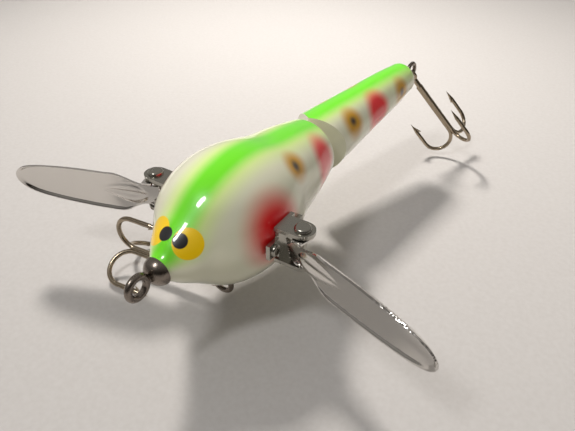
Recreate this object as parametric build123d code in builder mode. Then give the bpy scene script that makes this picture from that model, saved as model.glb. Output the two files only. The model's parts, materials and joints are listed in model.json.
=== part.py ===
"""Jointed winged crawler lure, in millimetres.

+X is the lure's left side, +Y runs from the nose to the tail and +Z is up. The origin is the
centre of the line-tie ring. The lure lies on its treble hooks.
"""
from build123d import *
from math import cos, radians, sin, tan
import os

os.makedirs("parts", exist_ok=True)

# ---- driving dimensions -------------------------------------------------------------------
fit_gap = 0.05               # gap between a pressed or glued piece and its seat
cut_reach = 5.0              # how far a seat is cut out past the surface

# line tie and nose cup
tie_ring_radius = 2.25       # ring centre line
tie_wire_radius = 0.75
tie_land_radius = 1.55       # flattened inner side of the ring
tie_neck = 4.0               # plain wire between a ring and its thread
tie_shank_length = 14.0
cup_rim_y = 5.4
cup_rim_radius = 3.1
cup_thickness = 0.35
cup_height = 2.4
cup_shoulder = (0.76, 0.66)  # where the dome turns, as shares of its radius and height

# front body, a solid of revolution about Y: (distance behind the line tie, radius)
body_curve = [(8.0, 4.6), (12.0, 7.6), (16.7, 11.5), (22.2, 13.9), (28.6, 14.7), (35.0, 13.9),
              (41.4, 12.1), (50.0, 10.6)]
body_end_y = 60.5
body_end_radius = 8.6
body_edge = 0.7

# joint between the two sections
joint_y = 61.6
joint_ring_radius = 2.3
joint_wire_radius = 0.55
joint_play = 0.25            # slack between the two linked rings
joint_pocket_radius = 3.7
joint_pocket_depth = 5.0
joint_neck = 1.5
joint_shank_length = 10.0
tail_yaw = 8.6               # degrees towards +X
tail_pitch = 6.9             # degrees up

# tail section, in its own frame: Y runs along the tail from the joint
tail_front_radius = 8.7
tail_curve = [(9.6, 7.9), (24.0, 6.7), (38.0, 5.6)]
tail_length = 47.0
tail_shoulder_radius = 4.75  # where the rounded end begins
tail_end_flat = 3.1
tail_edge = 1.8
wedge_angle = 31.0           # each face of the wedge leans back by this much
wedge_start = 0.7
tail_pocket_radius = 3.5
tail_pocket_depth = 4.6

# tail hook eye, in the tail's frame
tail_ring_radius = 2.1
tail_wire_radius = 0.6
tail_ring_y = 51.8
tail_neck = 1.5
tail_shank_length = 13.0
tail_cup_radius = 2.6
tail_cup_height = 0.8
tail_cup_round = 0.6

# belly eye and its cup
belly_y = 23.5
belly_ring_radius = 2.3
belly_wire_radius = 0.65
belly_ring_z = -17.4
belly_neck = 1.8
belly_shank_length = 8.5
belly_cup_radius = 3.0
belly_cup_top_z = -13.2
belly_cup_height = 1.1
belly_cup_round = 0.8

# ballast
ballast_radius = 3.4
ballast_height = 7.0
ballast_y = 34.0
ballast_top_z = -4.5
ballast_edge = 0.5

# wing brackets, described on the left side
pin_x = 19.3
pin_y = 26.1
wing_mid_z = 0.0
pin_radius = 0.9
pin_play = 0.1
pin_foot = 0.6               # the riveted foot below the bracket
foot_radius = 1.45
head_radius = 1.8
head_height = 0.8
head_round = 0.7
bracket_sheet = 0.9
bracket_y = 26.9
bracket_half_height = 4.4
bracket_width = 6.0
bracket_seat_x = 14.2
ear_radius = 2.6
tab_reach = 6.3              # middle of the bracket to the end of a screw tab
tab_height = 3.4
screw_offset = 4.7
screw_head_radius = 1.3
screw_head_height = 0.8
screw_head_round = 0.45
screw_slot = (1.5, 0.4)      # length, width and depth of each arm of the cross
screw_shank_radius = 0.6
screw_length = 6.0           # depth of its hole in the body
screw_tip_gap = 0.2

# wings
wing_sweep = 17.5            # degrees forward of square to the body
wing_tilt = 12.0             # the blade's top edge leans forward by this much
wing_sheet = 0.6
wing_front = 1.9             # blade's rear face, in front of the pin
wing_upper = [(5.5, 5.3), (9.5, 6.3), (17.0, 6.3), (26.0, 5.8), (32.0, 4.4)]
wing_lower = [(5.5, 4.9), (9.5, 5.8), (17.0, 5.8), (26.0, 5.3), (32.0, 4.0)]
wing_root_u = -1.8
wing_neck_u = 2.6            # the blade stays narrow between the bracket ears up to here
wing_tip_u = 35.2
wing_lip = 0.8               # height and width of the turned-up rim
wing_flat_root = 10.0        # the rim starts this far along the blade
wing_ear_radius = 2.3
wing_ear_gap = 0.2           # between a wing ear and its bracket ear

# treble hooks
hook_wire_radius = 0.6
hook_eye_radius = 1.5
hook_eye_wire = 0.45
hook_length = 27.3           # eye centre to the bottom of the bends
hook_gape = 9.4
hook_point_rise = 9.0
hook_point_length = 3.6
hook_eye_neck = 3.0          # from the eye wire to where the three wires part
hook_braze_radius = 0.8     # the brazed shank
hook_braze_end = 2.0         # the brazing stops this far before the bends
barb_reach = 1.25
barb_width = 0.45
belly_hook_direction = Vector(-0.99, -0.11, 0.02)
tail_hook_direction = Vector(0.62, 0.235, -0.75)
belly_hook_turn = 90.0       # turn of the first bend about the shank, degrees
tail_hook_turn = 200.0
belly_link_turn = 81.0       # where the belly hook hangs on its ring, from its lowest point
tail_link_turn = 16.5        # where the tail hook hangs on its ring, from its lowest point


# ---- helpers ------------------------------------------------------------------------------
def body_plane(origin, x_dir, z_dir):
    """A plane from plain tuples or vectors."""
    return Plane(origin=origin, x_dir=x_dir, z_dir=z_dir)


def screw_eye(place, ring_radius, wire_radius, neck, shank_length):
    """A screw eye: the ring's axis is place.z_dir and the shank runs along place.x_dir."""
    with BuildPart() as eye:
        with BuildSketch(body_plane(place.origin, place.x_dir, -place.y_dir)):
            with Locations((ring_radius, 0)):
                Circle(wire_radius)
        revolve(axis=Axis(place.origin, place.z_dir))
        with BuildSketch(place):
            with BuildLine():
                Polyline(*shank_outline(ring_radius, wire_radius, neck, shank_length),
                         close=True)
            make_face()
        revolve(axis=Axis(place.origin, place.x_dir))
    return eye.part


def shank_outline(ring_radius, wire_radius, neck, shank_length):
    """Half section of a shank: a plain neck, a threaded stretch and a point."""
    pitch = wire_radius * 1.1
    start = ring_radius + neck
    end = ring_radius + shank_length
    turns = int((end - start - 2 * wire_radius) / pitch)
    points = [(ring_radius, 0), (ring_radius, wire_radius), (start, wire_radius)]
    for turn in range(turns):
        points.append((start + (turn + 0.5) * pitch, wire_radius * 0.72))
        points.append((start + (turn + 1) * pitch, wire_radius))
    points.append((end, 0))
    return points


def drill_plane(place, start):
    """The plane of a hole that begins at start along place.x_dir."""
    return body_plane(place.origin + place.x_dir * start, place.y_dir, place.x_dir)


def dome_curve(inset):
    """The nose cup's outer surface as an arc in (radius, y), or one that lies inside it."""
    out, rise = cup_shoulder
    return ThreePointArc((tie_wire_radius + fit_gap, cup_rim_y - cup_height + inset),
                         (cup_rim_radius * out - inset * out,
                          cup_rim_y - cup_height * rise + inset * out),
                         (cup_rim_radius - inset, cup_rim_y))


def treble_hook(eye, direction, eye_axis, first_turn):
    """A treble hook: eye centre, shank direction, axis of the eye's hole."""
    frame = body_plane(eye, direction, eye_axis)
    inset = hook_wire_radius * 0.9
    bend = bend_radius()
    bend_x = hook_length - bend
    start_x = hook_eye_radius + hook_eye_neck
    outer_y = inset + 2 * bend
    tip_x = bend_x - hook_point_rise + hook_point_length
    with BuildPart() as hook:
        with BuildSketch(body_plane(eye, direction, -frame.y_dir)):
            with Locations((hook_eye_radius, 0)):
                Circle(hook_eye_wire)
        revolve(axis=Axis(eye, frame.z_dir))
        with BuildSketch(drill_plane(frame, hook_eye_radius)):
            Circle(hook_braze_radius)
        extrude(amount=bend_x - hook_eye_radius - hook_braze_end)
        for leg in range(3):
            turn = radians(first_turn + 120 * leg)
            out = frame.y_dir * cos(turn) + frame.z_dir * sin(turn)
            place = body_plane(eye, direction, frame.x_dir.cross(out))
            with BuildLine(place) as path:
                Line((start_x, inset), (bend_x, inset))
                ThreePointArc((bend_x, inset), (bend_x + bend, inset + bend), (bend_x, outer_y))
                Line((bend_x, outer_y), (tip_x, outer_y))
            start = eye + place.x_dir * start_x + place.y_dir * inset
            with BuildSketch(body_plane(start, place.y_dir, place.x_dir)):
                Circle(hook_wire_radius)
            sweep(path=path.line)
            with BuildSketch(place):
                with BuildLine():
                    Polyline(*point_outline(tip_x, outer_y), close=True)
                make_face()
            revolve(axis=Axis(eye + place.y_dir * outer_y, place.x_dir))
            with BuildSketch(place):
                with BuildLine():
                    Polyline(*barb_outline(tip_x, outer_y), close=True)
                make_face()
            extrude(amount=barb_width / 2, both=True)
    return hook.part


def bend_radius():
    return (hook_gape - hook_wire_radius * 0.9) / 2


def point_outline(tip_x, y):
    """Half section of the needle point."""
    return [(tip_x, y), (tip_x, y + hook_wire_radius), (tip_x - hook_point_length, y)]


def barb_outline(tip_x, y):
    """The barb, a sliver raised on the inner side of the point."""
    return [(tip_x - hook_point_length * 0.6, y - hook_wire_radius * 0.2),
            (tip_x + hook_wire_radius, y - barb_reach),
            (tip_x - 0.1, y - hook_wire_radius * 0.3)]


# ---- front section ------------------------------------------------------------------------
body_axis = Axis((0, 0, 0), (0, 1, 0))
tie_place = body_plane((0, 0, 0), (0, 1, 0), (1, 0, 0))
front_joint_place = body_plane((0, joint_y - joint_ring_radius, 0), (0, -1, 0), (1, 0, 0))
belly_place = body_plane((0, belly_y, belly_ring_z), (0, 0, 1), (0, 1, 0))

with BuildPart() as nose_cup:
    with BuildSketch(Plane.XY):
        with BuildLine():
            outer, inner = dome_curve(0), dome_curve(cup_thickness)
            Line(outer @ 0, inner @ 0)
            Line(outer @ 1, inner @ 1)
        make_face()
    revolve(axis=body_axis)
nose_cup.part.label = "nose_cup"
export_step(nose_cup.part, "parts/nose_cup.step")

with BuildPart() as line_tie_eye:
    add(screw_eye(tie_place, tie_ring_radius, tie_wire_radius, tie_neck, tie_shank_length))
    with BuildSketch(Plane.YZ.offset(-tie_wire_radius)):
        Circle(tie_land_radius)
    extrude(amount=2 * tie_wire_radius, mode=Mode.SUBTRACT)
line_tie_eye.part.label = "line_tie_eye"
export_step(line_tie_eye.part, "parts/line_tie_eye.step")

with BuildPart() as front_joint_eye:
    add(screw_eye(front_joint_place, joint_ring_radius, joint_wire_radius, joint_neck,
                  joint_shank_length))
front_joint_eye.part.label = "front_joint_eye"
export_step(front_joint_eye.part, "parts/front_joint_eye.step")

with BuildPart() as belly_hook_eye:
    add(screw_eye(belly_place, belly_ring_radius, belly_wire_radius, belly_neck,
                  belly_shank_length))
belly_hook_eye.part.label = "belly_hook_eye"
export_step(belly_hook_eye.part, "parts/belly_hook_eye.step")

with BuildPart() as belly_cup:
    with BuildSketch(body_plane((0, belly_y, belly_cup_top_z), (1, 0, 0), (0, 0, -1))):
        Circle(belly_cup_radius)
        Circle(belly_wire_radius + fit_gap, mode=Mode.SUBTRACT)
    extrude(amount=belly_cup_height)
    fillet(belly_cup.edges().group_by(Axis.Z)[0].sort_by(SortBy.LENGTH)[-1], belly_cup_round)
belly_cup.part.label = "belly_cup"
export_step(belly_cup.part, "parts/belly_cup.step")

with BuildPart() as belly_ballast:
    with BuildSketch(body_plane((0, ballast_y, ballast_top_z), (1, 0, 0), (0, 0, -1))):
        Circle(ballast_radius)
    extrude(amount=ballast_height)
    chamfer(belly_ballast.edges().filter_by(GeomType.CIRCLE), ballast_edge)
belly_ballast.part.label = "belly_ballast"
export_step(belly_ballast.part, "parts/belly_ballast.step")

with BuildPart() as front_body:
    with BuildSketch(body_plane((0, 0, 0), (0, 0, 1), (-1, 0, 0))):
        with BuildLine():
            nose = dome_curve(cup_thickness + fit_gap)
            front_y = cup_rim_y - cup_height + cup_thickness + fit_gap
            Line((0, front_y), nose @ 0)
            side = Spline(nose @ 1, *[(r, y) for y, r in body_curve],
                          (body_end_radius, body_end_y - body_edge),
                          tangents=((0.3, 1), (-0.22, 1)))
            Line(side @ 1, (body_end_radius - body_edge, body_end_y))
            Line((body_end_radius - body_edge, body_end_y), (0, body_end_y))
            Line((0, body_end_y), (0, front_y))
        make_face()
    revolve(axis=body_axis)
    for place, start, length, radius in (
            (tie_place, tie_ring_radius, tie_shank_length, tie_wire_radius),
            (front_joint_place, joint_ring_radius, joint_shank_length, joint_wire_radius),
            (belly_place, belly_ring_radius, belly_shank_length, belly_wire_radius)):
        with BuildSketch(drill_plane(place, start)):
            Circle(radius)
        extrude(amount=length, mode=Mode.SUBTRACT)
    with BuildSketch(body_plane((0, body_end_y, 0), (1, 0, 0), (0, -1, 0))):
        Circle(joint_pocket_radius)
    extrude(amount=joint_pocket_depth, mode=Mode.SUBTRACT)
    with BuildSketch(body_plane((0, belly_y, belly_cup_top_z), (1, 0, 0), (0, 0, -1))):
        Circle(belly_cup_radius + fit_gap)
    extrude(amount=cut_reach, mode=Mode.SUBTRACT)
    add(belly_ballast.part, mode=Mode.SUBTRACT)
    for side_sign in (1, -1):
        with BuildSketch(body_plane((side_sign * bracket_seat_x, bracket_y, wing_mid_z),
                                    (0, 1, 0), (side_sign, 0, 0))):
            Rectangle(4 * tab_reach, 2 * bracket_half_height)
        extrude(amount=cut_reach, mode=Mode.SUBTRACT)
        for step in (-1, 1):
            screw_y = bracket_y + step * screw_offset
            with BuildSketch(body_plane((side_sign * bracket_seat_x, screw_y, wing_mid_z),
                                        (0, 1, 0), (-side_sign, 0, 0))):
                Circle(screw_shank_radius)
            extrude(amount=screw_length, mode=Mode.SUBTRACT)
front_body.part.label = "front_body"
export_step(front_body.part, "parts/front_body.step")

# ---- wing brackets, screws and pins -------------------------------------------------------
bracket_plane = body_plane((bracket_seat_x, bracket_y, wing_mid_z), (0, 1, 0), (1, 0, 0))
ear_plane = body_plane((pin_x, pin_y, wing_mid_z), (1, 0, 0), (0, 0, 1))
ear_reach = pin_x - bracket_seat_x

with BuildPart() as left_wing_bracket:
    with BuildSketch(bracket_plane):
        Rectangle(bracket_width, 2 * bracket_half_height)
        Rectangle(2 * tab_reach, tab_height)
    extrude(amount=bracket_sheet)
    for level in (bracket_half_height - bracket_sheet, -bracket_half_height):
        with BuildSketch(ear_plane.offset(level)):
            Circle(ear_radius)
            with Locations((-ear_reach / 2, 0)):
                Rectangle(ear_reach, 2 * ear_radius)
            Circle(pin_radius + fit_gap, mode=Mode.SUBTRACT)
        extrude(amount=bracket_sheet)
    with BuildSketch(bracket_plane):
        with Locations((screw_offset, 0), (-screw_offset, 0)):
            Circle(screw_shank_radius + fit_gap)
    extrude(amount=bracket_sheet, mode=Mode.SUBTRACT)
left_wing_bracket.part.label = "left_wing_bracket"
export_step(left_wing_bracket.part, "parts/left_wing_bracket.step")

with BuildPart() as left_bracket_screws:
    with BuildSketch(bracket_plane.offset(bracket_sheet)):
        with Locations((screw_offset, 0), (-screw_offset, 0)):
            Circle(screw_head_radius)
    extrude(amount=screw_head_height)
    fillet(left_bracket_screws.edges().group_by(Axis.X)[-1], screw_head_round)
    with BuildSketch(bracket_plane.offset(bracket_sheet)):
        with Locations((screw_offset, 0), (-screw_offset, 0)):
            Circle(screw_shank_radius)
    extrude(amount=-(screw_length + bracket_sheet - screw_tip_gap))
    slot_plane = bracket_plane.offset(bracket_sheet + screw_head_height)
    with BuildSketch(slot_plane):
        with Locations((screw_offset, 0), (-screw_offset, 0)):
            Rectangle(*screw_slot)
            Rectangle(*reversed(screw_slot))
    extrude(amount=-screw_slot[1], mode=Mode.SUBTRACT)
left_bracket_screws.part.label = "left_bracket_screws"
export_step(left_bracket_screws.part, "parts/left_bracket_screws.step")

with BuildPart() as left_wing_pin:
    with BuildSketch(ear_plane.offset(-bracket_half_height)):
        Circle(pin_radius)
    extrude(amount=2 * bracket_half_height)
    with BuildSketch(ear_plane.offset(bracket_half_height)):
        Circle(head_radius)
    extrude(amount=head_height)
    fillet(left_wing_pin.edges().group_by(Axis.Z)[-1], head_round)
    with BuildSketch(ear_plane.offset(-bracket_half_height)):
        Circle(foot_radius)
    extrude(amount=-pin_foot)
left_wing_pin.part.label = "left_wing_pin"
export_step(left_wing_pin.part, "parts/left_wing_pin.step")

# ---- wings --------------------------------------------------------------------------------
sweep_angle, tilt_angle = radians(wing_sweep), radians(wing_tilt)
wing_along = Vector(cos(sweep_angle), -sin(sweep_angle), 0)
wing_forward = Vector(-sin(sweep_angle), -cos(sweep_angle), 0)
wing_normal = wing_forward * cos(tilt_angle) - Vector(0, 0, 1) * sin(tilt_angle)
wing_pivot = (pin_x, pin_y, wing_mid_z)
wing_plane = body_plane(wing_pivot, wing_along, wing_normal)
wing_ear_plane = body_plane(wing_pivot, wing_along, (0, 0, 1))
wing_half_height = bracket_half_height - bracket_sheet - wing_ear_gap


def blade_face(inset=0.0):
    """The blade's outline, a long oval that is square at the root, or one inside it."""
    root = wing_half_height - inset
    foot = root - wing_front * sin(tilt_angle)
    upper = [(u, v - inset) for u, v in wing_upper]
    lower = [(u, inset - v) for u, v in wing_lower]
    with BuildSketch(Plane.XY) as blade:
        with BuildLine():
            Spline((wing_neck_u, root), *upper, (wing_tip_u - inset, 0), *reversed(lower),
                   (wing_neck_u, -foot))
            Polyline((wing_neck_u, -foot), (wing_root_u, -foot), (wing_root_u, root),
                     (wing_neck_u, root))
        make_face()
    return blade.sketch


with BuildPart() as left_wing:
    with BuildSketch(wing_plane.offset(wing_front)):
        add(blade_face())
    extrude(amount=wing_sheet + wing_lip)
    with BuildSketch(wing_plane.offset(wing_front + wing_sheet)):
        add(blade_face(wing_lip))
        Rectangle(2 * wing_flat_root, 4 * wing_half_height)
    extrude(amount=wing_lip, mode=Mode.SUBTRACT)
    for level in (wing_half_height - wing_sheet, -wing_half_height):
        blade_y = -(wing_front + wing_sheet + level * sin(tilt_angle)) / cos(tilt_angle)
        with BuildSketch(wing_ear_plane.offset(level)):
            Circle(wing_ear_radius)
            with Locations((0, blade_y / 2)):
                Rectangle(2 * wing_ear_radius, -blade_y)
            Circle(pin_radius + pin_play, mode=Mode.SUBTRACT)
        extrude(amount=wing_sheet)
left_wing.part.label = "left_wing"
export_step(left_wing.part, "parts/left_wing.step")

# ---- the right side mirrors the left ------------------------------------------------------
for left_piece in (left_wing_bracket, left_bracket_screws, left_wing_pin, left_wing):
    right_piece = mirror(left_piece.part, about=Plane.YZ)
    right_piece.label = left_piece.part.label.replace("left", "right")
    export_step(right_piece, f"parts/{right_piece.label}.step")

# ---- tail section -------------------------------------------------------------------------
yaw, pitch = radians(tail_yaw), radians(tail_pitch)
tail_along = Vector(sin(yaw) * cos(pitch), cos(yaw) * cos(pitch), sin(pitch))
tail_side = Vector(cos(yaw), -sin(yaw), 0)
tail_up = tail_side.cross(tail_along)
joint_point = Vector(0, joint_y, 0)
tail_section = body_plane(joint_point, tail_side, tail_up)
tail_axis = Axis(joint_point, tail_along)
rear_ring_y = joint_ring_radius - 2 * joint_wire_radius - joint_play
level_along = Vector(sin(yaw), cos(yaw), 0)
rear_joint_place = body_plane(joint_point + level_along * rear_ring_y, tail_along, tail_up)
tail_eye_place = body_plane(joint_point + tail_along * tail_ring_y, -tail_along, tail_side)

with BuildPart() as rear_joint_eye:
    add(screw_eye(rear_joint_place, joint_ring_radius, joint_wire_radius, joint_neck,
                  joint_shank_length))
rear_joint_eye.part.label = "rear_joint_eye"
export_step(rear_joint_eye.part, "parts/rear_joint_eye.step")

with BuildPart() as tail_hook_eye:
    add(screw_eye(tail_eye_place, tail_ring_radius, tail_wire_radius, tail_neck,
                  tail_shank_length))
tail_hook_eye.part.label = "tail_hook_eye"
export_step(tail_hook_eye.part, "parts/tail_hook_eye.step")

with BuildPart() as tail_cup:
    with BuildSketch(body_plane(joint_point + tail_along * tail_length, tail_side, tail_along)):
        Circle(tail_cup_radius)
        Circle(tail_wire_radius + fit_gap, mode=Mode.SUBTRACT)
    extrude(amount=tail_cup_height)
    fillet(tail_cup.edges().group_by(Axis(joint_point, tail_along))[-1].sort_by(
        SortBy.LENGTH)[-1], tail_cup_round)
tail_cup.part.label = "tail_cup"
export_step(tail_cup.part, "parts/tail_cup.step")

with BuildPart() as tail_body:
    with BuildSketch(tail_section):
        with BuildLine():
            shoulder = Spline((tail_front_radius, 0), *[(r, y) for y, r in tail_curve],
                              (tail_shoulder_radius, tail_length - tail_edge),
                              tangents=((-0.12, 1), (-0.1, 1)))
            rounded = TangentArc(shoulder @ 1, (tail_end_flat, tail_length),
                                 tangent=shoulder % 1)
            Polyline(rounded @ 1, (0, tail_length), (0, 0), (tail_front_radius, 0))
        make_face()
    revolve(axis=tail_axis)
    with BuildSketch(tail_section):
        reach = 2 * tail_front_radius
        back = reach * tan(radians(wedge_angle))
        with BuildLine():
            Polyline((0, wedge_start), (reach, wedge_start + back), (reach, -reach), (-reach, -reach),
                     (-reach, wedge_start + back), close=True)
        make_face()
    extrude(amount=reach, both=True, mode=Mode.SUBTRACT)
    with BuildSketch(body_plane(joint_point, tail_side, tail_along)):
        Circle(tail_pocket_radius)
    extrude(amount=tail_pocket_depth, mode=Mode.SUBTRACT)
    for place, start, length, radius in (
            (rear_joint_place, joint_ring_radius, joint_shank_length, joint_wire_radius),
            (tail_eye_place, tail_ring_radius, tail_shank_length, tail_wire_radius)):
        with BuildSketch(drill_plane(place, start)):
            Circle(radius)
        extrude(amount=length, mode=Mode.SUBTRACT)
tail_body.part.label = "tail_body"
export_step(tail_body.part, "parts/tail_body.step")

# ---- treble hooks -------------------------------------------------------------------------
belly_direction = belly_hook_direction.normalized()
belly_link = Vector(-belly_ring_radius * sin(radians(belly_link_turn)), belly_y,
                    belly_ring_z - belly_ring_radius * cos(radians(belly_link_turn)))
belly_tangent = Vector(-cos(radians(belly_link_turn)), 0, sin(radians(belly_link_turn)))
belly_hook_axis = belly_tangent - belly_direction * belly_tangent.dot(belly_direction)
belly_hook_axis = belly_hook_axis.normalized()
tail_link = tail_eye_place.origin + tail_along * (tail_ring_radius * sin(radians(tail_link_turn)))
tail_link = tail_link - tail_up * (tail_ring_radius * cos(radians(tail_link_turn)))
tail_direction = tail_hook_direction.normalized()
tail_hook_axis = (tail_along * cos(radians(tail_link_turn))
                  + tail_up * sin(radians(tail_link_turn)))
tail_hook_axis = (tail_hook_axis - tail_direction * tail_hook_axis.dot(tail_direction)).normalized()

with BuildPart() as belly_treble_hook:
    add(treble_hook(belly_link, belly_direction, belly_hook_axis, belly_hook_turn))
belly_treble_hook.part.label = "belly_treble_hook"
export_step(belly_treble_hook.part, "parts/belly_treble_hook.step")

with BuildPart() as tail_treble_hook:
    add(treble_hook(tail_link, tail_direction, tail_hook_axis, tail_hook_turn))
tail_treble_hook.part.label = "tail_treble_hook"
export_step(tail_treble_hook.part, "parts/tail_treble_hook.step")
print("belly link", belly_link, "axis", belly_hook_axis)
print("tail link", tail_link, "axis", tail_hook_axis)
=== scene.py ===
# %% [markdown]
# # A jointed surface lure with two folding wings
# The packed model holds every hard piece in its real place, with its joints. This lesson adds the
# camera, the light and the looks: airbrushed paint under clear lacquer, polished sheet, nickel
# plate and tinned hook wire. The wings are pressed anew, as thin dished sheet. Lengths are in
# metres, in the frame of the packed model: x to the lure's left, y towards its tail, z up.

# %% Load the frame
import json
import math

import bmesh
import bpy
from mathutils import Matrix, Vector


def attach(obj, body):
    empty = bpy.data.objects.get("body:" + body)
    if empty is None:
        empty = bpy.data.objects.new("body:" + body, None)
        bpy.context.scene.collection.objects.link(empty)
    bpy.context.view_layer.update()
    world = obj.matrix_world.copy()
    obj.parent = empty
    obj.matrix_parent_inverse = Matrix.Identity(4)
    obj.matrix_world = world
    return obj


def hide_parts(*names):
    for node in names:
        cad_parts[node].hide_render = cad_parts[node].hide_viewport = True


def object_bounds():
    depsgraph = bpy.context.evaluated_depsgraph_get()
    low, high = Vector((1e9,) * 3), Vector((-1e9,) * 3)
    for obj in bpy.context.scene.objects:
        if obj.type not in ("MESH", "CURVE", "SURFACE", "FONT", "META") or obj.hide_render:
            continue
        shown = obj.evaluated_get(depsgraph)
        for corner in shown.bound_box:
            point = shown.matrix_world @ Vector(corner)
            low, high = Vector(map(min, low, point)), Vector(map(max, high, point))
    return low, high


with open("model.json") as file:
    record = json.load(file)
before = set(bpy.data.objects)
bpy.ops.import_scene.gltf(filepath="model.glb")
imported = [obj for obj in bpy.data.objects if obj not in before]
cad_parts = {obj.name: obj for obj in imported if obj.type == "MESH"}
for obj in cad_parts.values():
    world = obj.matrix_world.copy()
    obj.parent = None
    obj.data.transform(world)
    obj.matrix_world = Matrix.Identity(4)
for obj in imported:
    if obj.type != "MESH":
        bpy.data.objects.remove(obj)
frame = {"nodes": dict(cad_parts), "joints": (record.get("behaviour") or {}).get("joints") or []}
nodes = frame["nodes"]
joints = {joint["name"]: joint for joint in frame["joints"]}
cad_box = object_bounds()
MM = 0.001

# %% [markdown]
# ## Camera
# A camera can be aimed with a constraint, or by hand in the viewport. Here its three axes are
# worked out from an azimuth, an elevation and a small roll, so that every number that places it
# can be read. It stands close, at the lure's left front and well above it, so the nose looms.

# %% Place the camera
AZIMUTH = math.radians(31.59)
ELEVATION = math.radians(36.34)
ROLL = math.radians(0.54)
DISTANCE = 140.2 * MM
AIM = Vector((0.0, 51.65, -15.79)) * MM
LENS_MM = 33.0
SENSOR_MM = 36.0
NEAREST = 5 * MM


def camera_axes(azimuth, elevation, roll):
    """Right, up and backward directions of a camera, as unit vectors."""
    back = Vector((math.sin(azimuth) * math.cos(elevation),
                   -math.cos(azimuth) * math.cos(elevation), math.sin(elevation)))
    level = Vector((math.cos(azimuth), math.sin(azimuth), 0.0))
    upright = back.cross(level)
    right = math.cos(roll) * level + math.sin(roll) * upright
    up = math.cos(roll) * upright - math.sin(roll) * level
    return right, up, back


right, up, back = camera_axes(AZIMUTH, ELEVATION, ROLL)
camera_data = bpy.data.cameras.new("camera")
camera_data.lens = LENS_MM
camera_data.sensor_width = SENSOR_MM
camera_data.clip_start = NEAREST
camera = bpy.data.objects.new("camera", camera_data)
bpy.context.scene.collection.objects.link(camera)
rotation = Matrix((right, up, back)).transposed().to_4x4()
camera.matrix_world = Matrix.Translation(AIM + back * DISTANCE) @ rotation
bpy.context.scene.camera = camera
print("camera at", [round(value, 4) for value in camera.location])

# %% [markdown]
# ## One helper for every finish
# A material, like the world, is a tree of nodes with a shader at its end. Built by hand it takes
# a line for each node, each setting and each link. The helper below does the three in one call,
# so that a finish reads as the list of its nodes. Colours are written as hex values, as on a
# paint chart, and turned to the linear values that a shader expects.

# %% Colours
def to_linear(hex_colour):
    """An sRGB hex colour as linear RGBA."""
    channels = [int(hex_colour[i:i + 2], 16) / 255 for i in (1, 3, 5)]
    linear = [c / 12.92 if c <= 0.04045 else ((c + 0.055) / 1.055) ** 2.4 for c in channels]
    return (*linear, 1.0)


print("mid grey in linear light", round(to_linear("#808080")[0], 3))

# %% Nodes
class Look:
    """A node tree that is being built, and the shader at its end."""

    def __init__(self, owner, shader_name="Principled BSDF"):
        owner.use_nodes = True
        self.owner = owner
        self.tree = owner.node_tree
        self.shader = self.tree.nodes[shader_name]

    def add(self, kind, settings=None, **links):
        """Adds a node. Settings are attributes or input values. A link is named for the
        input it joins, or i0, i1 and so on where inputs share a name."""
        node = self.tree.nodes.new(kind)
        for key, value in (settings or {}).items():
            if isinstance(key, int) or key in node.inputs:
                node.inputs[key].default_value = value
            else:
                setattr(node, key, value)
        for key, source in links.items():
            socket = node.inputs[int(key[1:])] if key[0] == "i" else node.inputs[key]
            self.tree.links.new(source, socket)
        return node

    def set(self, **values):
        """Sets inputs of the shader. An underscore stands for a space."""
        for key, value in values.items():
            self.shader.inputs[key.replace("_", " ")].default_value = value

    def link(self, source, socket):
        """Joins an output to an input of the shader."""
        self.tree.links.new(source, self.shader.inputs[socket])


def new_material(name):
    return Look(bpy.data.materials.new(name))


print("a look can", [word for word in vars(Look) if word[0] != "_"])

# %% [markdown]
# ## Table top
# The lure lies on a pale laminate table. Laminate is printed paper under a satin resin, so it
# shows a broad soft sheen, no clear reflection, and a faint fleck. A modelled table would add
# nothing that is seen. One flat square that runs far past the view is enough, with a noise
# between two near tints for the fleck.

# %% Lay the floor
FLOOR_SIZE = 3.0
FLOOR_GAP = 0.2 * MM         # keeps the lowest hook just clear of the surface
FLECK_MM = 1.111             # coarser than real print fleck, so that it shows
LAMINATE = ("#C6C3C1", "#BAB6B3")
LAMINATE_ROUGHNESS = 0.55
floor_z = cad_box[0][2]


def make_floor():
    mesh = bpy.data.meshes.new("table_top")
    half = FLOOR_SIZE / 2
    corners = [(-half, -half), (half, -half), (half, half), (-half, half)]
    mesh.from_pydata([(x, y, floor_z - FLOOR_GAP) for x, y in corners], [], [(0, 1, 2, 3)])
    table = bpy.data.objects.new("table_top", mesh)
    bpy.context.scene.collection.objects.link(table)
    look = new_material("pale laminate")
    place = look.add("ShaderNodeTexCoord")
    fleck = look.add("ShaderNodeTexNoise", {"Scale": 1 / (FLECK_MM * MM), "Detail": 2.0},
                     Vector=place.outputs["Object"])
    pale, dark = map(to_linear, LAMINATE)
    tint = look.add("ShaderNodeMix", {"data_type": "RGBA", 6: pale, 7: dark},
                    Factor=fleck.outputs["Fac"])
    look.link(tint.outputs[2], "Base Color")
    look.set(Roughness=LAMINATE_ROUGHNESS)
    mesh.materials.append(look.owner)


make_floor()
print("floor at", round(floor_z / MM, 2), "mm")

# %% [markdown]
# ## Lamps
# The main light comes from behind and from the left, so the shadows fall towards the viewer. It
# is a small square lamp, because a small lamp leaves a shadow with a clear edge. Two more lamps
# help it: a narrow strip near the nose, whose mirror image is the long glint on the lacquer, and
# a wide weak one that lifts the shadows. The main and the wide lamp are hidden from reflections,
# so that only the strip draws a glint.

# %% Hang the lamps
def add_lamp(name, place, aim, size, watts, colour):
    """A rectangular lamp at a place, turned to shine at its aim."""
    data = bpy.data.lights.new(name, "AREA")
    data.shape = "RECTANGLE"
    data.size, data.size_y = size
    data.energy = watts
    data.color = to_linear(colour)[:3]
    lamp = bpy.data.objects.new(name, data)
    lamp.location = place
    lamp.rotation_euler = (Vector(aim) - Vector(place)).to_track_quat("-Z", "Y").to_euler()
    bpy.context.scene.collection.objects.link(lamp)
    return lamp


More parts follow.
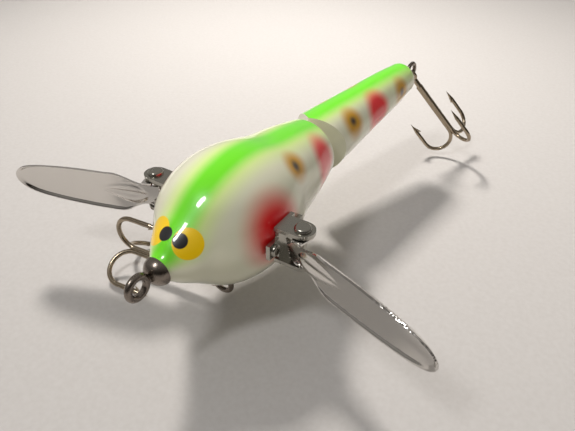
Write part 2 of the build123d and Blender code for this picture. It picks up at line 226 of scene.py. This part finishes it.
BEHIND_TAIL = (-0.05, 0.19, -0.02)
MIDDLE = (0.0, 0.05, 0.0)
KEY_SPREAD = math.radians(50)

key = add_lamp("key", (-0.42, 0.32, 0.58), BEHIND_TAIL, (0.12, 0.12), 0.70, "#FFFAF4")
key.data.spread = KEY_SPREAD
strip = add_lamp("strip_lamp", (-0.105, -0.27, 0.52), MIDDLE, (0.075, 0.16), 1.15, "#FFFFFF")
fill = add_lamp("fill", (0.50, -0.30, 0.42), MIDDLE, (0.6, 0.6), 0.55, "#F6F2EC")
for lamp in (key, fill):
    lamp.visible_glossy = False
print("watts", {lamp.name: round(lamp.data.energy, 2) for lamp in (key, strip, fill)})

# %% [markdown]
# ## Room
# Polished metal shows what stands around it, so the world can't be one flat grey. It is a bright
# ceiling that turns to a dark end of the room behind the viewer. A picture of a room would do the
# same, but a colour ramp over the direction is enough for such small pieces. Past the table's far
# edge the eye meets a plain pale wall.

# %% Give the room a bright ceiling and a dark end
CEILING = "#F2EEE8"
DARK_END = "#3A322B"
WALL = "#F4F1ED"
BRIGHT_SIDE = (-0.42, 0.45, 0.79)      # the direction of the ceiling's brightest part
TURN_STARTS, TURN_ENDS = 0.30, 0.80    # 0 is away from the bright side, 1 towards it
ROOM_STRENGTH = 0.38

room = Look(bpy.data.worlds.new("room"), "Background")
bpy.context.scene.world = room.owner
bpy.context.scene.view_settings.view_transform = "Standard"
direction = room.add("ShaderNodeTexCoord")
facing = room.add("ShaderNodeVectorMath", {"operation": "DOT_PRODUCT", 1: BRIGHT_SIDE},
                  i0=direction.outputs["Generated"])
turn = room.add("ShaderNodeMath", {"operation": "MULTIPLY_ADD", 1: 0.5, 2: 0.5},
                i0=facing.outputs["Value"])
blend = room.add("ShaderNodeValToRGB", Fac=turn.outputs[0])
dark_stop, bright_stop = blend.color_ramp.elements
dark_stop.position, dark_stop.color = TURN_STARTS, to_linear(DARK_END)
bright_stop.position, bright_stop.color = TURN_ENDS, to_linear(CEILING)
rays = room.add("ShaderNodeLightPath")
backdrop = room.add("ShaderNodeMix", {"data_type": "RGBA", 7: to_linear(WALL)},
                    Factor=rays.outputs["Is Camera Ray"], i6=blend.outputs["Color"])
room.link(backdrop.outputs[2], "Color")
room.set(Strength=ROOM_STRENGTH)
print("room from", DARK_END, "to", CEILING)

# %% [markdown]
# ## Airbrushed colours
# The body is turned wood, sealed, sprayed pearl white and then airbrushed: a bright green back,
# red behind the wings, gold and coral spots on the flanks, yellow eyes with black pupils. An
# airbrush leaves a soft edge. Such a spot could be painted by hand on the unwrapped surface, but
# a mask from the distance to one point is simpler, and it stays on its piece when the joint
# swings. Spots that are the same on both flanks are worked out once, with x made positive.

# %% Masks for sprayed spots
SOFT_EDGE = {"interpolation_type": "SMOOTHSTEP", "To Min": 0.0, "To Max": 1.0}


def spray_mask(look, place, centre, radius, softness, stretch=(1, 1, 1)):
    """1 inside radius of a point, fading to 0 over softness. All in millimetres."""
    offset = look.add("ShaderNodeVectorMath",
                      {"operation": "MULTIPLY_ADD", 1: [s / MM for s in stretch],
                       2: [-c * s for c, s in zip(centre, stretch)]}, i0=place)
    distance = look.add("ShaderNodeVectorMath", {"operation": "LENGTH"}, i0=offset.outputs[0])
    fade = look.add("ShaderNodeMapRange",
                    {**SOFT_EDGE, "From Min": radius + softness,
                     "From Max": max(radius - softness, 0.0)},
                    Value=distance.outputs["Value"])
    return fade.outputs["Result"]


def lay_colour(look, under, mask, hex_colour, strength=1.0):
    """Sprays a colour over what is under it, where the mask says."""
    if strength < 1.0:
        mask = look.add("ShaderNodeMath", {"operation": "MULTIPLY", 1: strength},
                        i0=mask).outputs[0]
    mix = look.add("ShaderNodeMix", {"data_type": "RGBA", 7: to_linear(hex_colour)},
                   Factor=mask, i6=under)
    return mix.outputs[2]


def both_flanks(look, place):
    """The place with x made positive, and the separate parts of the place itself."""
    parts = look.add("ShaderNodeSeparateXYZ", Vector=place)
    side = look.add("ShaderNodeMath", {"operation": "ABSOLUTE"}, i0=parts.outputs["X"])
    folded = look.add("ShaderNodeCombineXYZ", X=side.outputs[0], Y=parts.outputs["Y"],
                      Z=parts.outputs["Z"])
    return folded.outputs[0], parts


print("a sprayed edge is", SOFT_EDGE["interpolation_type"].lower())

# %% [markdown]
# ## Base coat and clear lacquer
# Under all the colours lies a warm pearl white, whose tone drifts a little, as sprayed pearl
# does. Over them goes a thick clear lacquer. Two layers of reflection could be built by hand,
# but the shader's own coat does it: a sharp glint from the lacquer over the softer paint, and a
# slow waviness that bends the glint, as on a coat that was dipped and left to drip.

# %% Base coat and lacquer
PEARL = "#EFEED0"
PEARL_SHADE = "#DDDCC4"
CLOUD_MM = 22.22             # how far the pearl's tone drifts before it turns
WAVE_MM = 6.25               # from crest to crest of the lacquer's waviness
WAVE_HEIGHT = 0.6 * MM
WAVE_STRENGTH = 0.06


def base_coat(look):
    place = look.add("ShaderNodeTexCoord")
    cloud = look.add("ShaderNodeTexNoise", {"Scale": 1 / (CLOUD_MM * MM), "Detail": 2.0},
                     Vector=place.outputs["Object"])
    tone = look.add("ShaderNodeMix", {"data_type": "RGBA", 6: to_linear(PEARL),
                                      7: to_linear(PEARL_SHADE)}, Factor=cloud.outputs["Fac"])
    return tone.outputs[2]


def gloss_coat(look):
    look.set(Roughness=0.32, IOR=1.5, Coat_Weight=1.0, Coat_Roughness=0.03, Coat_IOR=1.52)
    place = look.add("ShaderNodeTexCoord")
    waves = look.add("ShaderNodeTexNoise", {"Scale": 1 / (WAVE_MM * MM), "Detail": 1.0},
                     Vector=place.outputs["Object"])
    bump = look.add("ShaderNodeBump", {"Strength": WAVE_STRENGTH, "Distance": WAVE_HEIGHT},
                    Height=waves.outputs["Fac"])
    look.link(bump.outputs["Normal"], "Coat Normal")


print("pearl", PEARL, "waves every", WAVE_MM, "mm")

# %% [markdown]
# ## Green back
# The back is one pass of bright green along the spine, with a pale haze of overspray on both
# sides. The lure was rolled a little when it was sprayed, so the stripe leans. It is worked out
# from the distance to a leaning plane through the spine, and not from the height, which would
# widen it where the body is fat. Spray doesn't reach the flat faces at the joint.

# %% Spray the back, keep the joint face bare
GREEN = "#70E60A"
PALE_GREEN = "#D3F27E"
HAZE_STRENGTH = 0.8
CORE_SOFTNESS = 1.7          # mm
TOP_ONLY = 3 * MM            # the stripe fades in over this height above the middle
BARE_FROM, BARE_FULL = 0.55, 0.7


def stripe_distance(look, parts, lean_degrees):
    """Distance in millimetres from the leaning plane along the spine."""
    lean = math.radians(lean_degrees)
    side = look.add("ShaderNodeMath", {"operation": "MULTIPLY", 1: math.cos(lean) / MM},
                    i0=parts.outputs["X"])
    leaning = look.add("ShaderNodeMath", {"operation": "MULTIPLY_ADD",
                                          1: -math.sin(lean) / MM},
                       i0=parts.outputs["Z"], i2=side.outputs[0])
    away = look.add("ShaderNodeMath", {"operation": "ABSOLUTE"}, i0=leaning.outputs[0])
    return away.outputs[0]


def green_back(look, under, parts, lean_degrees, core_mm, haze_mm):
    """Strong green near the spine, then a pale haze down the flanks."""
    away = stripe_distance(look, parts, lean_degrees)
    top = look.add("ShaderNodeMapRange", {**SOFT_EDGE, "From Min": 0.0, "From Max": TOP_ONLY},
                   Value=parts.outputs["Z"])
    passes = [(haze_mm, core_mm, PALE_GREEN, HAZE_STRENGTH),
              (core_mm + CORE_SOFTNESS, core_mm - CORE_SOFTNESS, GREEN, 1.0)]
    for none_at, full_at, hex_colour, strength in passes:
        edge = look.add("ShaderNodeMapRange",
                        {**SOFT_EDGE, "From Min": none_at, "From Max": full_at}, Value=away)
        mask = look.add("ShaderNodeMath", {"operation": "MULTIPLY"},
                        i0=edge.outputs["Result"], i1=top.outputs["Result"])
        under = lay_colour(look, under, mask.outputs[0], hex_colour, strength)
    return under


def keep_bare(look, painted, bare, towards_joint):
    """Leaves a face that looks towards the joint in the base colour."""
    place = look.add("ShaderNodeTexCoord")
    facing_joint = look.add("ShaderNodeVectorMath",
                            {"operation": "DOT_PRODUCT", 1: towards_joint},
                            i0=place.outputs["Normal"])
    mask = look.add("ShaderNodeMapRange",
                    {**SOFT_EDGE, "From Min": BARE_FROM, "From Max": BARE_FULL},
                    Value=facing_joint.outputs["Value"])
    mix = look.add("ShaderNodeMix", {"data_type": "RGBA"}, Factor=mask.outputs["Result"],
                   i6=painted, i7=bare)
    return mix.outputs[2]


print("green", GREEN, "haze", PALE_GREEN)

# %% [markdown]
# ## Front section
# Red is sprayed behind the wing brackets, then a gold spot with a dark middle, then a tall coral
# spot at the joint. The eyes come last, through a stencil, so their edges are sharp. They sit a
# little off the middle, as hand-held stencils do. One function lays all the colours of a
# section, in the order of the spray gun, and the spots are a table that is easy to change.

# %% Paint the front section
RED = "#EA0A12"
CORAL = "#F20D18"
GOLD = "#CE9600"
UMBER = "#2A1A08"
YELLOW = "#FFD200"
PUPIL = "#07070E"
STENCIL_EDGE = 0.1           # mm
# Leans 7 degrees, core 2.8 mm and haze 7.8 mm to each side.
FRONT_STRIPE = (7.0, 2.8, 7.8)
# Spots on both flanks: centre in mm, radius, softness, stretch, colour, strength.
FRONT_SPOTS = [
    ((13.6, 25.0, 2.7), 6.2, 3.4, (1, 0.95, 0.9), RED, 1.0),
    ((9.2, 39.9, 8.4), 3.3, 1.8, (1, 0.9, 1), GOLD, 1.0),
    ((9.2, 39.9, 8.4), 1.2, 1.0, (1, 1, 1), UMBER, 0.95),
    ((9.4, 53.8, 2.4), 5.0, 2.4, (0.9, 1.15, 0.7), CORAL, 1.0),
]
# Stencilled discs: centre in mm, radius, colour.
EYES = [
    ((3.6, 10.5, 4.6), 3.05, YELLOW), ((-3.4, 10.2, 4.9), 3.05, YELLOW),
    ((2.42, 9.7, 5.31), 1.5, PUPIL), ((-0.98, 9.6, 5.67), 1.5, PUPIL),
]


def airbrush(look, place, stripe, spots, towards_joint, eyes=()):
    """All the colours of one section. place is in the section's own axes."""
    gloss_coat(look)
    folded, parts = both_flanks(look, place)
    bare = base_coat(look)
    colour = green_back(look, bare, parts, *stripe)
    for centre, radius, softness, stretch, hex_colour, strength in spots:
        mask = spray_mask(look, folded, centre, radius, softness, stretch)
        colour = lay_colour(look, colour, mask, hex_colour, strength)
    for centre, radius, hex_colour in eyes:
        mask = spray_mask(look, place, centre, radius, STENCIL_EDGE)
        colour = lay_colour(look, colour, mask, hex_colour)
    look.link(keep_bare(look, colour, bare, towards_joint), "Base Color")
    return look.owner


def dress(name, material):
    """Gives a packed node its one material."""
    thing = nodes[name]
    thing.data.materials.clear()
    thing.data.materials.append(material)


front_look = new_material("airbrushed gloss lacquer front")
front_place = front_look.add("ShaderNodeTexCoord").outputs["Object"]
dress("front_body", airbrush(front_look, front_place, FRONT_STRIPE, FRONT_SPOTS,
                             (0.0, 1.0, 0.0), EYES))
print("front section:", len(FRONT_SPOTS), "spots on each flank,", len(EYES), "eye discs")

# %% [markdown]
# ## Tail section
# The tail lies turned to one side and sloped, so its spots are written in its own axes, which
# start at the joint and run along the section. The place on the surface is moved to the joint,
# turned back and levelled before any mask is worked out. It is the same paint otherwise.

# %% Paint the tail section in its own axes
TAIL_YAW = math.radians(8.6)
TAIL_PITCH = math.radians(6.9)
TOWARDS_FRONT = (-math.sin(TAIL_YAW) * math.cos(TAIL_PITCH),
                 -math.cos(TAIL_YAW) * math.cos(TAIL_PITCH), -math.sin(TAIL_PITCH))
TAIL_STRIPE = (-8.0, 3.3, 6.6)
TAIL_SPOTS = [
    ((6.3, 11.3, 4.0), 3.3, 1.7, (0.9, 1, 0.8), GOLD, 1.0),
    ((6.3, 11.3, 4.4), 1.0, 0.9, (1, 1, 1), UMBER, 0.95),
    ((6.6, 23.6, 1.0), 4.7, 2.0, (0.9, 1, 0.75), CORAL, 1.0),
    ((5.4, 37.0, 0.9), 3.2, 1.7, (0.9, 1, 0.8), GOLD, 1.0),
    ((5.5, 37.0, 0.8), 1.1, 0.9, (1, 1, 1), UMBER, 0.9),
]


def place_along_tail(look):
    place = look.add("ShaderNodeTexCoord").outputs["Object"]
    moved = look.add("ShaderNodeVectorMath",
                     {"operation": "SUBTRACT", 1: joints["tail_swing"]["pos_m"]}, i0=place)
    turned = look.add("ShaderNodeVectorRotate", {"rotation_type": "Z_AXIS", "Angle": TAIL_YAW},
                      Vector=moved.outputs[0])
    level = look.add("ShaderNodeVectorRotate", {"rotation_type": "X_AXIS", "Angle": -TAIL_PITCH},
                     Vector=turned.outputs[0])
    return level.outputs[0]


tail_look = new_material("airbrushed gloss lacquer tail")
dress("tail_body", airbrush(tail_look, place_along_tail(tail_look), TAIL_STRIPE, TAIL_SPOTS,
                            TOWARDS_FRONT))
print("tail section:", len(TAIL_SPOTS), "spots on each flank")

# %% [markdown]
# ## Metals
# Each metal starts from its colour, full metallic and a low roughness. Handled metal is never
# evenly smooth, so a noise changes the roughness and, very slightly, the surface. An even value
# would be simpler, but it gives a computer-clean shine. The noise's scale is the size of the
# rubbed patches, in millimetres.

# %% Metal finishes
DENT_DEPTH = 0.1 * MM


def metal(name, hex_colour, roughness, wear, patch_mm, dents=0.08):
    """wear is how much rougher a rubbed patch is, dents how strongly the surface waves."""
    look = new_material(name)
    look.set(Base_Color=to_linear(hex_colour), Metallic=1.0)
    place = look.add("ShaderNodeTexCoord")
    handling = look.add("ShaderNodeTexNoise", {"Scale": 1.0 / (patch_mm * MM), "Detail": 3.0},
                        Vector=place.outputs["Object"])
    spread = look.add("ShaderNodeMapRange", {"To Min": roughness, "To Max": roughness + wear},
                      Value=handling.outputs["Fac"])
    look.link(spread.outputs["Result"], "Roughness")
    bump = look.add("ShaderNodeBump", {"Strength": dents, "Distance": DENT_DEPTH},
                    Height=handling.outputs["Fac"])
    look.link(bump.outputs["Normal"], "Normal")
    return look.owner


# Plated brass wire and cups: a dark, warm mirror, so mostly black with small hard glints.
black_nickel = metal("black nickel plate", "#8A8077", 0.18, 0.16, 0.9)
# Stamped and plated brackets, pins and screws: a brighter, faintly green grey, rubbed in spots.
bright_nickel = metal("bright nickel plate", "#A8A59C", 0.16, 0.16, 1.2)
# Pressed stainless sheet, buffed: nearly a true mirror, so it takes the tones of the room.
polished_sheet = metal("mirror polished sheet", "#DAD6D1", 0.1, 0.08, 2.5, dents=0.02)
# Tinned steel wire: a browner grey with a long soft streak of light along each bend.
hook_steel = metal("tinned hook steel", "#A69884", 0.16, 0.14, 0.8)
# Cast lead in the belly: dull blue-grey, with no clear reflection.
lead = metal("cast lead", "#5B5D62", 0.5, 0.2, 0.6)
print("metals", [finish.name for finish in (black_nickel, bright_nickel, polished_sheet,
                                            hook_steel, lead)])

# %% Finish the metal pieces
FINISHES = {
    "nose_cup": black_nickel, "line_tie_eye": black_nickel, "front_joint_eye": black_nickel,
    "rear_joint_eye": black_nickel, "tail_cup": black_nickel, "tail_hook_eye": black_nickel,
    "belly_hook_eye": black_nickel, "belly_cup": bright_nickel, "belly_ballast": lead,
    "belly_treble_hook": hook_steel, "tail_treble_hook": hook_steel,
}
for hand in ("left", "right"):
    for piece in ("wing_bracket", "bracket_screws", "wing_pin"):
        FINISHES[f"{hand}_{piece}"] = bright_nickel
    FINISHES[f"{hand}_wing"] = polished_sheet
for name, material in FINISHES.items():
    dress(name, material)
print("finished", len(FINISHES), "metal pieces")

# %% [markdown]
# ## Shape of a wing
# Each wing is one piece of thin stainless sheet: a long oval blade, dished towards the nose, with
# a rolled rim and a teardrop rib near the root that keeps it stiff. The packed wing is a plain
# plate, which would reflect like a flat mirror. A pressed form is easiest to describe as a
# height over a plane, so the blade is a grid of points: u runs along it from the pin, v across
# it, and a formula gives the width at u and the height at each point. All in millimetres.

# %% The wing's axes, outline and press marks
WING_SWEEP = math.radians(17.5)
WING_TILT = math.radians(12.0)
BLADE_ROOT, BLADE_TIP = -1.7, 35.2
UPPER_HALF, LOWER_HALF = 6.2, 5.7      # widest half width above and below the middle line
NECK_SHARE = 0.51                      # the neck's width as a part of the widest
NECK_SPAN = (2.2, 9.0)                 # where the neck widens to the blade
TAPER = 0.1                            # how much narrower the blade gets towards its tip
TAPER_SPAN = (14.0, 30.0)
TIP_POWER = 8                          # how square the rounded tip is
TIP_SHARE = 0.9995                     # the last row is a short edge, not a point
SHEET = 0.42
BLADE_FRONT = 2.15                     # middle of the sheet in front of the pin
DISH, DISH_SPAN = 0.55, (2.0, 11.0)    # depth, and where along the blade it sets in
RIM, RIM_FROM = 0.5, 0.88              # height, and how near the edge it starts
RIB_START, RIB_LENGTH, RIB_HALF = 1.8, 13.0, 3.7
RIB_RISE, RIB_HOLLOW = 0.7, 0.6
RIB_OFFSET = 0.2                       # its middle line lies this far above the blade's
RIB_FULLNESS, RIB_NARROWING = 0.6, 0.3
RIDGE_SPAN, HOLLOW_SPAN = (0.0, 0.5), (0.45, 1.0)

along = Vector((math.cos(WING_SWEEP), -math.sin(WING_SWEEP), 0.0))
forward = Vector((-math.sin(WING_SWEEP), -math.cos(WING_SWEEP), 0.0))
normal = forward * math.cos(WING_TILT) - Vector((0, 0, 1)) * math.sin(WING_TILT)
upward = normal.cross(along)
pivot = Vector(joints["left_wing_fold"]["pos_m"]) / MM


def eased(value, low, high):
    """0 below low, 1 above high, smooth between."""
    share = min(max((value - low) / (high - low), 0.0), 1.0)
    return share * share * (3 - 2 * share)


def side_width(u):
    """The blade's half width before its tip is rounded, as a part of its widest."""
    neck = NECK_SHARE + (1 - NECK_SHARE) * eased(u, *NECK_SPAN)
    return neck * (1 - TAPER * eased(u, *TAPER_SPAN))


print("half width of the neck", round(UPPER_HALF * side_width(0), 2), "mm, of the blade",
      round(UPPER_HALF * side_width(TAPER_SPAN[0]), 2), "mm")


# %% Height of the pressed sheet
def rib_height(u, v):
    """The teardrop rib: a ridge round a hollow, its point towards the tip."""
    share = (u - RIB_START) / RIB_LENGTH
    if not 0.0 < share < 1.0:
        return 0.0
    size = math.sin(math.pi * share ** RIB_FULLNESS) * (1 - RIB_NARROWING * share)
    inward = 1 - abs(v - RIB_OFFSET) / max(RIB_HALF * size, 1e-6)
    ridge = RIB_RISE * eased(inward, *RIDGE_SPAN)
    return size * (ridge - RIB_HOLLOW * eased(inward, *HOLLOW_SPAN))


def blade_point(u, v, share):
    """A point of the sheet. reach is 0 on the middle line and 1 on the rim."""
    widest = (UPPER_HALF if v > 0 else LOWER_HALF) * side_width(u)
    reach = min(math.sqrt((v / widest) ** 2 + share ** TIP_POWER), 1.0)
    lift = DISH * reach ** 2 + RIM * eased(reach, RIM_FROM, 1.0)
    level = BLADE_FRONT + eased(u, *DISH_SPAN) * lift + rib_height(u, v)
    return pivot + along * u + upward * v + normal * level


print("rib stands", round(max(rib_height(0.1 * step, 3.0) for step in range(150)), 2), "mm")

# %% [markdown]
# ## Blade and ears
# The rows of the grid crowd together towards the tip, and its columns towards the two rims,
# since that is where the sheet bends most. The ears are flat strips of faces round the pin hole.
# They run out and forward until they meet the blade. Both are only a surface at this stage.

# %% Press the blade
ROWS, COLUMNS = 150, 72


def press_blade(mesh):
    shares = [math.sin(row / ROWS * math.pi / 2) for row in range(ROWS + 1)]
    shares = [share for share in shares if share < TIP_SHARE] + [TIP_SHARE]
    grid = []
    for share in shares:
        u = BLADE_ROOT + (BLADE_TIP - BLADE_ROOT) * share
        wide = side_width(u) * math.sqrt(1 - share ** TIP_POWER)
        line = []
        for column in range(COLUMNS + 1):
            v = math.sin((column / COLUMNS - 0.5) * math.pi) * wide
            v *= UPPER_HALF if v > 0 else LOWER_HALF
            line.append(mesh.verts.new(blade_point(u, v, share)))
        grid.append(line)
    for below, above in zip(grid, grid[1:]):
        for left, right in zip(range(COLUMNS), range(1, COLUMNS + 1)):
            mesh.faces.new((below[left], above[left], above[right], below[right]))


print("blade grid up to", ROWS, "by", COLUMNS)

# %% Fold the ears
EAR_LEVEL = 3.0              # height of each ear above and below the pin's middle
EAR_RADIUS = 2.3
EAR_HOLE = 1.0
EAR_TUCK = 0.25              # how far an ear's front edge runs into the blade
EAR_STEPS = 72
NEVER = 1e6


def fold_ear(mesh, level):
    """A flat ear round the pin that runs forward and out to the blade."""
    blade_edge = (BLADE_FRONT + level * math.sin(WING_TILT)) / math.cos(WING_TILT) + EAR_TUCK
    rings = []
    for step in range(EAR_STEPS):
        angle = 2 * math.pi * step / EAR_STEPS
        out, front = math.cos(angle), math.sin(angle)
        reach = EAR_RADIUS
        if out >= 0 and front >= 0:
            to_end = EAR_RADIUS / out if out > 1e-6 else NEVER
            to_blade = blade_edge / front if front > 1e-6 else NEVER
            reach = max(reach, min(to_end, to_blade))
        ray = along * out + forward * front
        rings.append([mesh.verts.new(pivot + ray * radius + Vector((0, 0, level)))
                      for radius in (EAR_HOLE, (EAR_HOLE + reach) / 2, reach)])
    for here, there in zip(rings, rings[1:] + rings[:1]):
        for inner, outer in ((0, 1), (1, 2)):
            corners = (here[inner], here[outer], there[outer], there[inner])
            mesh.faces.new(corners if level > 0 else corners[::-1])


print("ears at", (EAR_LEVEL, -EAR_LEVEL), "mm")

# %% [markdown]
# ## Two wings on their hinges
# The right wing is the left one mirrored in x, with its faces turned back the right way out. A
# solidify modifier gives the sheet its thickness and a bevel rounds the cut edges, which catch a
# thin line of light. Each wing takes the place of its packed plate and rides the same body, so
# it folds on its pin.

# %% Make both wings
EDGE_ROUND = 0.13
EDGE_ANGLE = math.radians(50)


def make_wing(hand, sign):
    shape = bmesh.new()
    press_blade(shape)
    for level in (EAR_LEVEL, -EAR_LEVEL):
        fold_ear(shape, level)
    for point in shape.verts:
        point.co = Vector((point.co.x * sign, point.co.y, point.co.z)) * MM
    if sign < 0:
        bmesh.ops.reverse_faces(shape, faces=shape.faces)
    for face in shape.faces:
        face.smooth = True
    mesh = bpy.data.meshes.new(f"{hand}_pressed_wing")
    shape.to_mesh(mesh)
    shape.free()
    wing = bpy.data.objects.new(f"{hand}_pressed_wing", mesh)
    bpy.context.scene.collection.objects.link(wing)
    sheet = wing.modifiers.new("sheet", "SOLIDIFY")
    sheet.thickness = SHEET * MM
    sheet.offset = 0.0
    edge = wing.modifiers.new("rounded edge", "BEVEL")
    edge.width = EDGE_ROUND * MM
    edge.segments = 2
    edge.limit_method = "ANGLE"
    edge.angle_limit = EDGE_ANGLE
    mesh.materials.append(polished_sheet)
    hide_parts(f"{hand}_wing")
    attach(wing, f"{hand}_wing")
    return wing


wings = [make_wing("left", 1), make_wing("right", -1)]
print("faces of each wing", [len(wing.data.polygons) for wing in wings])

# %% [markdown]
